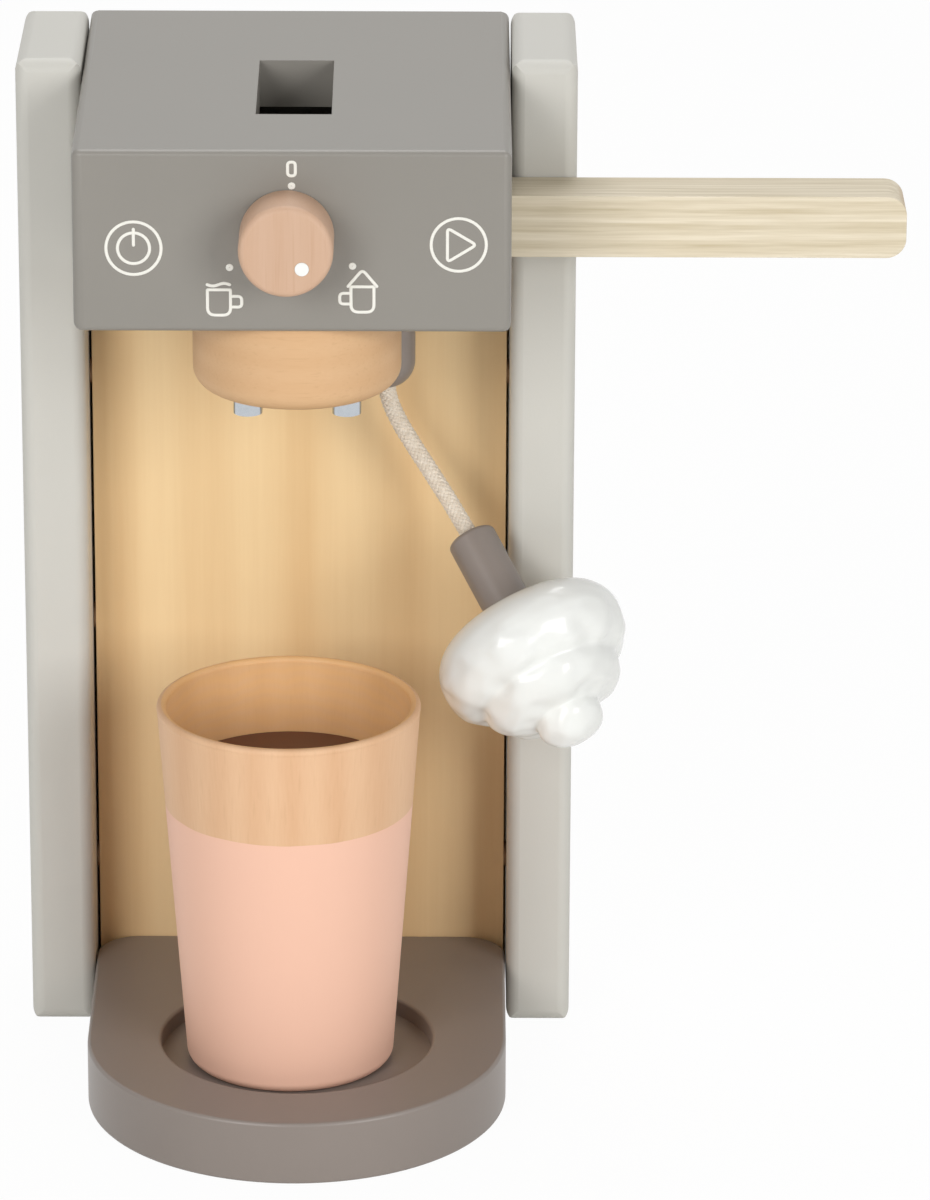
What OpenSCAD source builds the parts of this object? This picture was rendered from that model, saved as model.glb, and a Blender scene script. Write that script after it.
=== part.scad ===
// Toy coffee maker: two side boards carry a back panel, a hollow head and a D-shaped base.
// Origin: on the floor, under the centre of the cup's place. +Y runs to the back, +Z up.

/* [Frame] */
// Height of each side board
board_h = 238; // [215:1:270]
// Depth of each side board, front to back
board_d = 44; // [40:1:60]
// Thickness of each side board
board_t = 15; // [13:0.5:20]
// Rounding along the edges of the side boards
board_edge_r = 3; // [1:0.5:4]
// Clear width between the side boards
bay_w = 98; // [94:1:112]
// Glue gap at each side of the head and the base, which stand between the boards
bay_gap = 0.4; // [0.2:0.1:0.6]
// Distance from the cup's centre back to the front of the side boards
board_front_y = 42; // [40:1:52]
// Thickness of the back panel
panel_t = 10; // [8:0.5:14]
// Setback of the panel behind the boards' front
panel_setback = 17; // [14:1:19]
// Open joint at each side of the panel, closed by a lip at its back
panel_gap = 0.7; // [0.3:0.1:1]

/* [Base] */
// Thickness of the base plate
base_t = 15; // [13:0.5:20]
// Radius of the base plate's two back corners
base_corner_r = 10; // [4:1:14]
// Radius of the round recess for the cup
recess_r = 31.5; // [29:0.5:36]
// Depth of the recess
recess_d = 4; // [2:0.5:6]

/* [Head] */
// How far the head stands out in front of the side boards
head_reach = 53.5; // [48:0.5:60]
// Height of the head at its back, where its top meets the top of the boards
head_h = 47; // [46:1:56]
// Height of the head's front face
head_front_h = 42; // [41:1:46]
// Thickness of the head's front board
front_t = 10; // [8:0.5:12]
// Thickness of the head's top board
lid_t = 11; // [8:0.5:12]
// Thickness of the head's two cheeks
cheek_t = 9.5; // [9:0.5:12]
// Thickness of the head's back board
rear_t = 9; // [6:0.5:12]
// Thickness of the thin plywood under the head
floor_t = 5; // [4:0.25:5.25]
// Width of the pod slot in the top
slot_w = 17; // [14:1:20]
// Length of the pod slot, front to back
slot_l = 36.5; // [30:0.5:40]
// Distance of the slot's front edge behind the head's front face
slot_setback = 24.5; // [20:0.5:28]

/* [Knob] */
// Diameter of the turning knob
knob_d = 21; // [18:0.5:26]
// Length of the knob in front of the head
knob_l = 12.5; // [10:0.5:18]
// Rounding of the knob's front edge
knob_edge_r = 1.5; // [0.5:0.25:3]
// Sideways place of the knob
knob_x = -1.1; // [-3:0.1:3]
// Height of the knob's axis above the head's underside
knob_rise = 22.7; // [20:0.1:24]
// Diameter of the spigot that turns in the front board
spigot_d = 8; // [7:0.5:10]
// Diameter of the pointer dot
dot_d = 3.1; // [2:0.1:4]
// Distance of the dot from the knob's axis
dot_offset = 5.2; // [4:0.1:6]
// Direction of the dot, as printed on a clock face, degrees from the right
dot_angle = -47; // [-180:1:180]

/* [Lever] */
// Width and height of the lever's square section
lever_s = 14.5; // [12:0.5:15]
// Free length of the lever outside the head
lever_out = 89.9; // [70:0.1:110]
// Length of the lever inside the head, from its pin
lever_in = 50; // [46:1:51]
// Rounding of the lever's ends
lever_end_r = 4.5; // [2:0.5:6]
// Diameter of the lever's pin
pin_d = 5; // [3:0.5:5]
// Air between the lever and the plywood under it
lever_lift = 0.5; // [0.3:0.1:1]
// Angle that the lever is pressed down through
lever_travel = 15; // [10:1:16]

/* [Brew disc] */
// Diameter of the turned disc under the head
disc_d = 47.2; // [40:0.5:52]
// Height of the disc
disc_h = 20; // [16:0.5:24]
// Rounding of the disc's lower edge
disc_edge_r = 4.5; // [2:0.5:6]
// Sideways place of the disc
disc_x = 0.5; // [-3:0.5:3]
// Distance of the disc's centre behind the cup's centre
disc_y = 14; // [13:0.5:16]
// Diameter of each spout tube
spout_d = 6.6; // [5:0.2:9]
// Bore of each spout tube
spout_bore = 5; // [3:0.2:5]
// Length of each spout below the disc
spout_drop = 7.4; // [4:0.2:10]
// Distance between the two spouts
spout_pitch = 22.4; // [18:0.2:24]

/* [Frother] */
// Diameter of the peg that carries the cord
peg_d = 13; // [11:0.5:14]
// Drop of the peg below the head
peg_drop = 32; // [26:0.5:36]
// Diameter of the woven cord
cord_d = 4.2; // [3:0.1:4.4]
// Diameter of the nozzle
nozzle_d = 11.5; // [10:0.5:13]
// Length of the nozzle
nozzle_l = 25.5; // [20:0.5:30]
// Rounding of the nozzle's upper edge
nozzle_edge_r = 1.2; // [0.5:0.1:1.6]
// Diameter of the two magnets
magnet_d = 8; // [6:0.5:8]
// Thickness of each magnet
magnet_t = 3; // [2:0.5:4]
// Diameter of the foam's widest puff
foam_d = 45.6; // [40:0.2:46]
// Height of the foam from its flat base to its tip
foam_h = 34; // [31:0.5:36]

/* [Cup] */
// Height of the cup
cup_h = 87.5; // [76:0.5:92]
// Diameter of the cup's mouth
mouth_d = 60.4; // [56:0.2:64]
// Diameter of the cup's foot
foot_d = 47.6; // [42:0.2:50]
// Thickness of the cup's wall
cup_wall = 2.2; // [1.6:0.1:3]
// Thickness of the cup's floor
cup_floor = 6; // [4:0.5:9]
// Depth of the coffee below the cup's rim
coffee_depth = 17.7; // [12:0.1:24]
// Thickness of the coffee disc
coffee_t = 5; // [3:0.5:8]

/* [Fittings] */
// Diameter of the frame's wooden dowels
dowel_d = 6; // [5:0.5:7]
// Diameter of the wood screws' shanks
screw_d = 3.5; // [3:0.25:4]

/* [Hidden] */

$fn = 96;
eps = 0.01;                       // overshoot of a cut
glue = 0.05;                      // glue or press clearance on a radius
run = 0.05;                       // running clearance on a radius
air = 0.3;                        // clearance between pieces that move past each other
blind = 0.2;                      // a blind hole is this much deeper than what it holds

// Screws and dowels
screw_free = 0.6;                 // a screw passes its first board with this much room
screw_head_d = 2 * screw_d;
screw_head_h = 0.6 * screw_d;     // countersunk head
pan_head_h = 2.4;                 // head of the screws inside the head
screw_bite = 1;                   // the shank runs this far into its own head

// Frame
part_w = bay_w - 2 * bay_gap;     // width of the head and the base
board_x = bay_w / 2;              // inner face of the right board
board_back_y = board_front_y + board_d;
panel_y = board_front_y + panel_setback;
panel_foot = 0.4;                 // the panel ends just above the floor
panel_lip = 2;                    // thickness of the lip at the panel's back
base_screw_x = [-34, 0, 34];      // countersunk screws through the panel into the base
base_screw_l = 30;

// Head
head_y = board_front_y - head_reach;
head_depth = board_back_y - head_y;
head_z = board_h - head_h;                       // underside of the head
lid_drop = head_h - head_front_h;                // the top falls this much to the front
lid_slope = lid_drop / head_depth;
inner_y = head_y + front_t;                      // back of the front board
inner_x = part_w / 2 - cheek_t;                  // inner face of the right cheek
function lid_z(y) = head_z + head_front_h + (y - head_y) * lid_slope;
function lid_under(y) = lid_z(y) - lid_t;

// Dowels on the right-hand side: [y, z, length beyond the board]
dowel_depth = 10;                 // depth of a dowel in the side board
panel_dowel_l = 16;               // depth of a dowel in the back panel
head_dowel_rise = 25;             // height of the head's dowels above its underside
cheek_skin = 2.5;                 // wood left behind a dowel in the cheek
dowel_spots = concat(
    [for (k = [0.18, 0.5, 0.82]) [panel_y + panel_t / 2, head_z * k, panel_dowel_l]],
    [for (k = [0.45, 0.82])
        [board_front_y + board_d * k, head_z + head_dowel_rise, cheek_t - cheek_skin]]);

// Knob
knob_z = head_z + knob_rise;
knob_back_y = head_y - air;
washer_t = 1;
washer_d = 14;
spigot_l = front_t + 2 * air;
knob_screw_d = 3;
knob_screw_l = 16;                // length of the knob's screw under its head
dot_l = 2;                        // depth of the pointer dot's hole
dot_seat = 0.1;                   // the dot ends this far above the bottom of its hole

// Lever
lever_clear = 0.5;                               // it swings just in front of the right board
lever_y = board_front_y - lever_s - lever_clear;
lever_z = head_z + floor_t + lever_lift;
lever_mid_z = lever_z + lever_s / 2;
pin_x = part_w / 2 - cheek_t / 2;
lever_end_x = part_w / 2 + lever_out;
lever_gate_y = lever_s + 2 * air;                // width of its slot in the cheek
gate_margin = 0.4;
gate_half = cheek_t / 2 * tan(lever_travel) + lever_s / 2 / cos(lever_travel) + gate_margin;
pin_seat = 8;                                    // the pin's length behind the lever
pin_l = lever_y + lever_s + pin_seat - inner_y;

// Brew disc and spouts
disc_z = head_z - disc_h;
spout_seat = 8;                                  // depth of a spout in the disc
disc_screw_x = 6;
disc_screw_l = 14;                               // below the head of each disc screw
spout_cap = 1;                                   // metal that closes the top of a spout

// Frother: the nozzle and the foam share one axis, which leans forward and to the right
peg_x = 20.6;
peg_y = board_front_y + 4;
cord_socket = 8;
wand_tilt = 49;                                  // degrees from straight down
wand_heading = -53.5;                            // degrees from +X towards +Y
foam_socket = 3;                                 // the nozzle's depth in the foam
foam_face = nozzle_l - foam_socket;              // the foam's flat base, along the axis
magnet_gap = 0.15;
foam_tip = 6.5;                                  // half thickness of the last puff
// Puffs: [height above the flat base, radius, half thickness]
foam_puffs = [
    [9, foam_d / 2, 9],
    [18.5, foam_d * 0.373, 7.5],
    [foam_h - foam_tip, foam_d * 0.17, foam_tip]];
wand_axis = [sin(wand_tilt) * cos(wand_heading), sin(wand_tilt) * sin(wand_heading), -cos(wand_tilt)];

// Route of the cord's centre line, from inside the peg to inside the nozzle
peg_end = [peg_x, peg_y, head_z - peg_drop];
nozzle_top = peg_end + [19.4, -8.5, -34];
cord_route = [
    peg_end + [0, 0, 7],
    peg_end + [0, 0, 3.5],
    peg_end,
    peg_end + [0.43, 0.2, -2.9],
    peg_end + [1.35, 0.6, -5.7],
    peg_end + [2.57, 0.9, -8.45],
    peg_end + [3.94, 1.05, -11.1],
    peg_end + [5.46, 1.05, -13.65],
    peg_end + [7.03, 0.8, -16.2],
    peg_end + [8.64, 0.35, -18.65],
    peg_end + [10.26, -0.35, -21.05],
    peg_end + [11.87, -1.25, -23.4],
    peg_end + [13.48, -2.4, -25.65],
    peg_end + [15.04, -3.7, -27.85],
    peg_end + [16.54, -5.15, -30],
    peg_end + [18, -6.75, -32.05],
    nozzle_top,
    nozzle_top + 3 * wand_axis,
    nozzle_top + 6 * wand_axis];
cord_sides = 8;
cord_steps = 2;                                  // rings between two points of the route

// Cup
cup_x = -1.5;
cup_z = base_t - recess_d;
rim_z = cup_z + cup_h;
coffee_z = rim_z - coffee_depth - coffee_t;      // underside of the coffee disc
cup_taper = (mouth_d - foot_d) / 2 / cup_h;      // growth of the radius per unit of height
foot_round = 2.5;
ledge = 1.5;                                     // the coffee disc rests on this step
coffee_fit = 0.1;                                // room around the coffee disc
function cup_r(z) = foot_d / 2 + (z - cup_z) * cup_taper;

// Colours
light_paint = "#c8c6be";
dark_paint = "#969089";
limewood = "#e6c592";
beech = "#dfb48a";
palewood = "#ead9ae";
cream_cord = "#ddd0bd";
foam_white = "#f6f6f3";
pink_paint = "#efbda5";
coffee_brown = "#4f352b";
zinc = "#b9bdc2";

// A flat rectangle with round corners
module round_rect(w, h, r) {
    translate([r, 0]) square([w - 2 * r, h]);
    translate([0, r]) square([w, h - 2 * r]);
    for (x = [r, w - r], y = [r, h - r]) translate([x, y]) circle(r);
}

// A bar whose long edges and ends are all rounded
module round_bar(w, d, h, r) {
    intersection() {
        linear_extrude(h) round_rect(w, d, r);
        translate([0, d, 0]) rotate([90, 0, 0]) linear_extrude(d) round_rect(w, h, r);
        rotate([90, 0, 90]) linear_extrude(w) round_rect(d, h, r);
    }
}

// A cylinder along X, starting at the origin
module rod_x(d, l) { rotate([0, 90, 0]) cylinder(d = d, h = l); }

// A cylinder along Y, starting at the origin
module rod_y(d, l) { rotate([-90, 0, 0]) cylinder(d = d, h = l); }

// Turns a shape drawn down its own +Z onto the axis of the nozzle
module along_wand() {
    translate(nozzle_top) rotate([0, 180 - wand_tilt, wand_heading]) children();
}

// A slab cut from a side outline drawn in Y and Z, spread over x0 to x1
module side_slab(x0, x1, outline) {
    translate([x0, 0, 0]) rotate([90, 0, 90]) linear_extrude(x1 - x0) polygon(outline);
}

module dowel_set(d, extra) {
    for (s = [-1, 1], p = dowel_spots)
        translate([s * (board_x + dowel_depth + extra), p[0], p[1]])
            rotate([0, -90 * s, 0]) cylinder(d = d, h = dowel_depth + bay_gap + p[2] + 2 * extra);
}

module side_board(s) {
    color(light_paint) difference() {
        translate([s > 0 ? board_x : -board_x - board_t, board_front_y, 0])
            round_bar(board_t, board_d, board_h, board_edge_r);
        dowel_set(dowel_d + 2 * glue, blind);
    }
}

module left_side_board() { side_board(-1); }

module right_side_board() { side_board(1); }

module back_panel() {
    color(limewood) difference() {
        union() {
            translate([panel_gap - board_x, panel_y, panel_foot])
                cube([2 * (board_x - panel_gap), panel_t, head_z - panel_foot]);
            translate([glue - board_x, panel_y + panel_t - panel_lip, panel_foot])
                cube([2 * (board_x - glue), panel_lip, head_z - panel_foot]);
        }
        dowel_set(dowel_d + 2 * glue, blind);
        for (x = base_screw_x) translate([x, 0, base_t / 2]) {
            translate([0, panel_y - eps, 0]) rod_y(screw_d + screw_free, panel_t + 2 * eps);
            translate([0, panel_y + panel_t - screw_head_h, 0]) rotate([-90, 0, 0])
                cylinder(d1 = screw_d + screw_free, d2 = screw_head_d + screw_free, h = screw_head_h + eps);
        }
    }
}

module base_plate() {
    edge = part_w / 2;
    color(dark_paint) difference() {
        linear_extrude(base_t) {
            circle(edge, $fn = 160);
            translate([-edge, 0]) square([part_w, panel_y - base_corner_r]);
            translate([base_corner_r - edge, 0])
                square([part_w - 2 * base_corner_r, panel_y]);
            for (s = [-1, 1])
                translate([s * (edge - base_corner_r), panel_y - base_corner_r])
                    circle(base_corner_r);
        }
        translate([0, 0, base_t - recess_d]) cylinder(r = recess_r, h = recess_d + eps, $fn = 160);
        for (x = base_screw_x)
            translate([x, panel_y + panel_t - base_screw_l - blind, base_t / 2])
                rod_y(screw_d + 2 * glue, base_screw_l);
    }
}

module base_screws() {
    color(zinc) for (x = base_screw_x)
        translate([x, panel_y + panel_t - base_screw_l, base_t / 2]) {
            rod_y(screw_d, base_screw_l - screw_head_h / 2);
            translate([0, base_screw_l - screw_head_h, 0]) rotate([-90, 0, 0])
                cylinder(d1 = screw_d, d2 = screw_head_d, h = screw_head_h);
        }
}

module frame_dowels() { color(beech) dowel_set(dowel_d, 0); }

module head_front_board() {
    color(dark_paint) difference() {
        side_slab(-part_w / 2, part_w / 2, [[head_y, head_z], [inner_y, head_z],
            [inner_y, lid_z(inner_y)], [head_y, lid_z(head_y)]]);
        translate([knob_x, head_y - eps, knob_z]) rod_y(spigot_d + 2 * run, front_t + 2 * eps);
    }
}

module head_top_board() {
    color(dark_paint) difference() {
        side_slab(-part_w / 2, part_w / 2, [[inner_y, lid_under(inner_y)],
            [board_back_y, lid_under(board_back_y)], [board_back_y, lid_z(board_back_y)],
            [inner_y, lid_z(inner_y)]]);
        translate([-slot_w / 2, head_y + slot_setback, head_z])
            cube([slot_w, slot_l, 2 * head_front_h]);
    }
}

module cheek(x0, x1) {
    side_slab(x0, x1, [[inner_y, head_z], [board_back_y, head_z],
        [board_back_y, lid_under(board_back_y)], [inner_y, lid_under(inner_y)]]);
}

module head_left_cheek() {
    color(dark_paint) difference() {
        cheek(-part_w / 2, -inner_x);
        dowel_set(dowel_d + 2 * glue, blind);
    }
}

module head_right_cheek() {
    color(dark_paint) difference() {
        cheek(inner_x, part_w / 2);
        dowel_set(dowel_d + 2 * glue, blind);
        translate([inner_x - eps, lever_y - air, lever_mid_z - gate_half])
            cube([cheek_t + 2 * eps, lever_gate_y, 2 * gate_half]);
        translate([pin_x, inner_y - eps, lever_mid_z]) rod_y(pin_d + 2 * glue, pin_l + blind);
    }
}

module head_floor() {
    color(dark_paint) difference() {
        translate([-inner_x, inner_y, head_z])
            cube([2 * inner_x, board_back_y - rear_t - inner_y, floor_t]);
        translate([peg_x, peg_y, head_z - eps]) cylinder(d = peg_d + 2 * glue, h = floor_t + 2 * eps);
        for (s = [-1, 1]) translate([disc_x + s * disc_screw_x, disc_y, head_z - eps])
            cylinder(d = screw_d + screw_free, h = floor_t + 2 * eps);
    }
}

module head_back_board() {
    color(dark_paint)
        side_slab(-inner_x, inner_x, [[board_back_y - rear_t, head_z], [board_back_y, head_z],
            [board_back_y, lid_under(board_back_y)],
            [board_back_y - rear_t, lid_under(board_back_y - rear_t)]]);
}

module disc_screws() {
    color(zinc) for (s = [-1, 1])
        translate([disc_x + s * disc_screw_x, disc_y, head_z + floor_t]) {
            translate([0, 0, -disc_screw_l]) cylinder(d = screw_d, h = disc_screw_l + screw_bite);
            cylinder(d = screw_head_d, h = pan_head_h);
        }
}

module brew_disc() {
    r = disc_d / 2;
    color(beech) translate([disc_x, disc_y, disc_z]) difference() {
        rotate_extrude($fn = 128) {
            square([r - disc_edge_r, disc_h]);
            translate([0, disc_edge_r]) square([r, disc_h - disc_edge_r]);
            translate([r - disc_edge_r, disc_edge_r]) circle(disc_edge_r);
        }
        for (s = [-1, 1]) {
            translate([s * spout_pitch / 2, 0, -eps])
                cylinder(d = spout_d + 2 * glue, h = spout_seat + eps);
            translate([s * disc_screw_x, 0, disc_h - disc_screw_l + floor_t - blind])
                cylinder(d = screw_d + 2 * glue, h = disc_screw_l);
        }
    }
}

module spout(s) {
    color(zinc) translate([disc_x + s * spout_pitch / 2, disc_y, disc_z - spout_drop]) difference() {
        cylinder(d = spout_d, h = spout_drop + spout_seat);
        translate([0, 0, -eps]) cylinder(d = spout_bore, h = spout_drop + spout_seat - spout_cap);
    }
}

module left_spout() { spout(-1); }

module right_spout() { spout(1); }

module frother_peg() {
    r = peg_d / 2;
    color(dark_paint) difference() {
        union() {
            translate(peg_end + [0, 0, r]) cylinder(r = r, h = peg_drop + floor_t - r);
            translate(peg_end + [0, 0, r]) sphere(r);
        }
        translate(peg_end - [0, 0, 1]) cylinder(d = cord_d + 2 * glue, h = cord_socket + 1);
    }
}

// Point at t (0 to 1) on the smooth curve between b and c, with neighbours a and d
function curve(a, b, c, d, t) = 0.5 * (2 * b + (c - a) * t + (2 * a - 5 * b + 4 * c - d) * t * t
    + (3 * b - 3 * c + d - a) * t * t * t);
function clamp_at(route, i) = route[max(0, min(len(route) - 1, i))];
function smooth(route, n) = concat(
    [for (i = [0 : len(route) - 2], k = [0 : n - 1]) curve(clamp_at(route, i - 1), route[i],
        route[i + 1], clamp_at(route, i + 2), k / n)],
    [route[len(route) - 1]]);
function unit(v) = v / norm(v);
function heading(path, i) =
    unit(path[min(len(path) - 1, i + 1)] - path[max(0, i - 1)]);

// A round tube of the given radius swept along a path that never runs along Y
module tube(path, r, sides) {
    n = len(path);
    points = [for (i = [0 : n - 1]) let (t = heading(path, i), u = unit(cross([0, 1, 0], t)),
        v = cross(t, u)) for (k = [0 : sides - 1]) let (a = 360 * k / sides)
        path[i] + r * (cos(a) * u + sin(a) * v)];
    sides_faces = [for (i = [0 : n - 2], k = [0 : sides - 1]) let (m = (k + 1) % sides)
        [i * sides + k, (i + 1) * sides + k, (i + 1) * sides + m, i * sides + m]];
    start = [for (k = [0 : sides - 1]) k];
    end = [for (k = [sides - 1 : -1 : 0]) (n - 1) * sides + k];
    polyhedron(points, concat([start], sides_faces, [end]));
}

module frother_cord() {
    color(cream_cord) tube(smooth(cord_route, cord_steps), cord_d / 2, cord_sides);
}

module frother_nozzle() {
    r = nozzle_d / 2;
    color(dark_paint) along_wand() difference() {
        rotate_extrude($fn = 128) {
            square([r - nozzle_edge_r, nozzle_l]);
            translate([0, nozzle_edge_r]) square([r, nozzle_l - nozzle_edge_r]);
            translate([r - nozzle_edge_r, nozzle_edge_r]) circle(nozzle_edge_r);
        }
        translate([0, 0, -eps]) cylinder(d = cord_d + 2 * glue, h = cord_socket);
        translate([0, 0, nozzle_l - magnet_t]) cylinder(d = magnet_d + 2 * glue, h = magnet_t + eps);
    }
}

module nozzle_magnet() {
    color(zinc) along_wand() translate([0, 0, nozzle_l - magnet_t])
        cylinder(d = magnet_d, h = magnet_t);
}

// A disc whose whole rim is round
module puff(r, half) {
    rotate_extrude() {
        square([r - half, half]);
        translate([0, -half]) square([r - half, half]);
        translate([r - half, 0]) intersection() {
            circle(half);
            translate([0, -half]) square(2 * half);
        }
    }
}

module foam_topping() {
    color(foam_white) along_wand() translate([0, 0, foam_face]) difference() {
        union() for (p = foam_puffs) translate([0, 0, p[0]]) puff(p[1], p[2]);
        translate([0, 0, -eps]) cylinder(d = nozzle_d + 2 * air, h = foam_socket + magnet_gap + eps);
        translate([0, 0, foam_socket]) cylinder(d = magnet_d + 2 * glue, h = magnet_t + magnet_gap);
    }
}

module foam_magnet() {
    color(zinc) along_wand() translate([0, 0, nozzle_l + magnet_gap])
        cylinder(d = magnet_d, h = magnet_t);
}

module selector_knob() {
    r = knob_d / 2;
    color(beech) translate([knob_x, knob_back_y, knob_z]) difference() {
        union() {
            rotate([90, 0, 0]) rotate_extrude($fn = 128) {
                square([r - knob_edge_r, knob_l]);
                square([r, knob_l - knob_edge_r]);
                translate([r - knob_edge_r, knob_l - knob_edge_r]) circle(knob_edge_r);
            }
            translate([0, -eps, 0]) rod_y(spigot_d, spigot_l + eps);
        }
        translate([0, spigot_l - knob_screw_l + screw_bite, 0])
            rod_y(knob_screw_d + 2 * glue, knob_screw_l);
        translate([dot_offset * cos(dot_angle), -knob_l - eps, dot_offset * sin(dot_angle)])
            rod_y(dot_d + 2 * glue, dot_l);
    }
}

module pointer_dot() {
    color(foam_white)
        translate([knob_x + dot_offset * cos(dot_angle), knob_back_y - knob_l,
            knob_z + dot_offset * sin(dot_angle)]) rod_y(dot_d, dot_l - dot_seat);
}

module knob_washer() {
    color(zinc) translate([knob_x, knob_back_y + spigot_l, knob_z]) difference() {
        rod_y(washer_d, washer_t);
        translate([0, -eps, 0]) rod_y(screw_d, washer_t + 2 * eps);
    }
}

module knob_screw() {
    color(zinc) translate([knob_x, knob_back_y + spigot_l + washer_t, knob_z]) {
        translate([0, screw_bite - knob_screw_l, 0]) rod_y(knob_screw_d, knob_screw_l - screw_bite);
        rod_y(screw_head_d, pan_head_h);
    }
}

module lever_bar() {
    length = lever_in + lever_end_x - pin_x;
    color(palewood) difference() {
        translate([pin_x - lever_in, lever_y + lever_s, lever_z]) rotate([90, 0, 0])
            linear_extrude(lever_s) round_rect(length, lever_s, lever_end_r);
        translate([pin_x, lever_y - eps, lever_mid_z]) rod_y(pin_d + 2 * run, lever_s + 2 * eps);
    }
}

module lever_pin() {
    color(zinc) translate([pin_x, inner_y + blind, lever_mid_z]) rod_y(pin_d, pin_l - 2 * blind);
}

module cup() {
    r0 = foot_d / 2;
    color(beech) translate([cup_x, 0, 0]) rotate_extrude($fn = 128) difference() {
        union() {
            polygon([[0, cup_z], [r0 - foot_round, cup_z], [cup_r(cup_z + foot_round), cup_z + foot_round],
                [cup_r(rim_z - cup_wall / 2), rim_z - cup_wall / 2],
                [cup_r(rim_z) - cup_wall, rim_z - cup_wall / 2],
                [0, rim_z - cup_wall / 2]]);
            translate([cup_r(rim_z) - cup_wall / 2, rim_z - cup_wall / 2]) circle(cup_wall / 2);
            translate([cup_r(cup_z + foot_round) - foot_round, cup_z + foot_round]) circle(foot_round);
        }
        polygon([[0, cup_z + cup_floor], [cup_r(cup_z + cup_floor) - cup_wall - ledge, cup_z + cup_floor],
            [cup_r(coffee_z) - cup_wall - ledge, coffee_z], [cup_r(coffee_z) - cup_wall, coffee_z],
            [cup_r(rim_z) - cup_wall, rim_z], [0, rim_z]]);
    }
}

module coffee_disc() {
    r = cup_r(coffee_z) - cup_wall - coffee_fit;
    color(coffee_brown) translate([cup_x, 0, coffee_z]) cylinder(r = r, h = coffee_t);
}

left_side_board();
right_side_board();
back_panel();
base_plate();
head_front_board();
head_top_board();
head_left_cheek();
head_right_cheek();
head_floor();
head_back_board();
frame_dowels();
base_screws();
disc_screws();
brew_disc();
left_spout();
right_spout();
frother_peg();
frother_cord();
frother_nozzle();
nozzle_magnet();
foam_topping();
foam_magnet();
selector_knob();
pointer_dot();
knob_screw();
knob_washer();
lever_bar();
lever_pin();
cup();
coffee_disc();
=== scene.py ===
# %% [markdown]
# # A wooden toy coffee maker
# A play-kitchen coffee maker is a small piece of joinery: painted boards, a bare wooden back, turned
# knobs and a cup, and one short woven cord. The construction comes from the frame, in metres, with
# its origin on the floor under the cup. This lesson gives each piece the surface that its maker gave
# it: spray paint, oil, lacquer, zinc or cotton.

# %% Load the frame
from math import cos, pi, radians, sin, sqrt

import bmesh
import bpy
from mathutils import Matrix, Vector


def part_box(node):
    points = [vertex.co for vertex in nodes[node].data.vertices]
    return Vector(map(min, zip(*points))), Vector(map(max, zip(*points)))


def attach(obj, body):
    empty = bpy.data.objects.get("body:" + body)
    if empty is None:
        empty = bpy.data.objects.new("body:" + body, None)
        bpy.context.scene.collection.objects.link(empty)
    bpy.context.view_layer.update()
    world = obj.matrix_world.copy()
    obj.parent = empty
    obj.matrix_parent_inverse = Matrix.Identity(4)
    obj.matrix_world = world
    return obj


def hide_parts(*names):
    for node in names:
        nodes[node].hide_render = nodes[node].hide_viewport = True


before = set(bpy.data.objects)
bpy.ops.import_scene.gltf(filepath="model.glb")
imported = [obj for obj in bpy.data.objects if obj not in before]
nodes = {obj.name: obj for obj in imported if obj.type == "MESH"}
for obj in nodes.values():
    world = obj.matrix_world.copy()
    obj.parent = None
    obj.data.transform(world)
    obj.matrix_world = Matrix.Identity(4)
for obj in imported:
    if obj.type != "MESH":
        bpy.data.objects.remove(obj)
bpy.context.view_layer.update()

# %% [markdown]
# ## Three small helpers
# Sizes are written in millimetres and turned to metres once. Colours are written as on a paint card,
# in sRGB hex, and turned to the linear values that the shader wants. One function adds a node to any
# tree, whether it holds a material or geometry: a value given for an input is set, and a socket or
# another node given for it is linked.

# %% Helpers
MM = 0.001


def linear(hex_colour):
    """The linear colour of an sRGB hex value such as "c8c6be"."""
    channels = [int(hex_colour[i:i + 2], 16) / 255 for i in (0, 2, 4)]
    return [c / 12.92 if c <= 0.04045 else ((c + 0.055) / 1.055) ** 2.4 for c in channels] + [1]


def add(tree, kind, inputs=None, **settings):
    """Adds one node and feeds its inputs.

    inputs maps an input's name or number to a value, a socket, or a node that gives its first output.
    """
    new = tree.nodes.new(kind)
    for name, value in settings.items():
        setattr(new, name, value)
    for name, value in (inputs or {}).items():
        if isinstance(value, bpy.types.Node):
            value = value.outputs[0]
        if isinstance(value, bpy.types.NodeSocket):
            tree.links.new(value, new.inputs[name])
        else:
            new.inputs[name].default_value = value
    return new


def new_piece(name, points=(), edges=(), faces=()):
    """A new object at the origin whose mesh holds its place."""
    mesh = bpy.data.meshes.new(name)
    mesh.from_pydata([Vector(p) for p in points], edges, faces)
    piece = bpy.data.objects.new(name, mesh)
    bpy.context.scene.collection.objects.link(piece)
    return piece


print("paint card test, mid grey:", [round(c, 3) for c in linear("808080")])

# %% [markdown]
# ## Camera
# A long lens far away keeps the upright boards nearly parallel, as in a product picture. The camera
# stands in front of the middle and looks down by about 21 degrees, so the top of the head and the
# mouth of the cup both show. The focal length is worked out for a frame of 930 by 1200.

# %% Camera
VIEW_TARGET = Vector((38.8, 42, 107.66)) * MM
VIEW_AZIMUTH, VIEW_ELEVATION, VIEW_ROLL = radians(-0.194), radians(20.599), radians(0.243)
VIEW_DISTANCE = 1627.3 * MM
LENS_MM, SENSOR_MM = 209.1, 36
NEAREST = 50 * MM  # nothing closer to the camera is drawn

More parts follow.
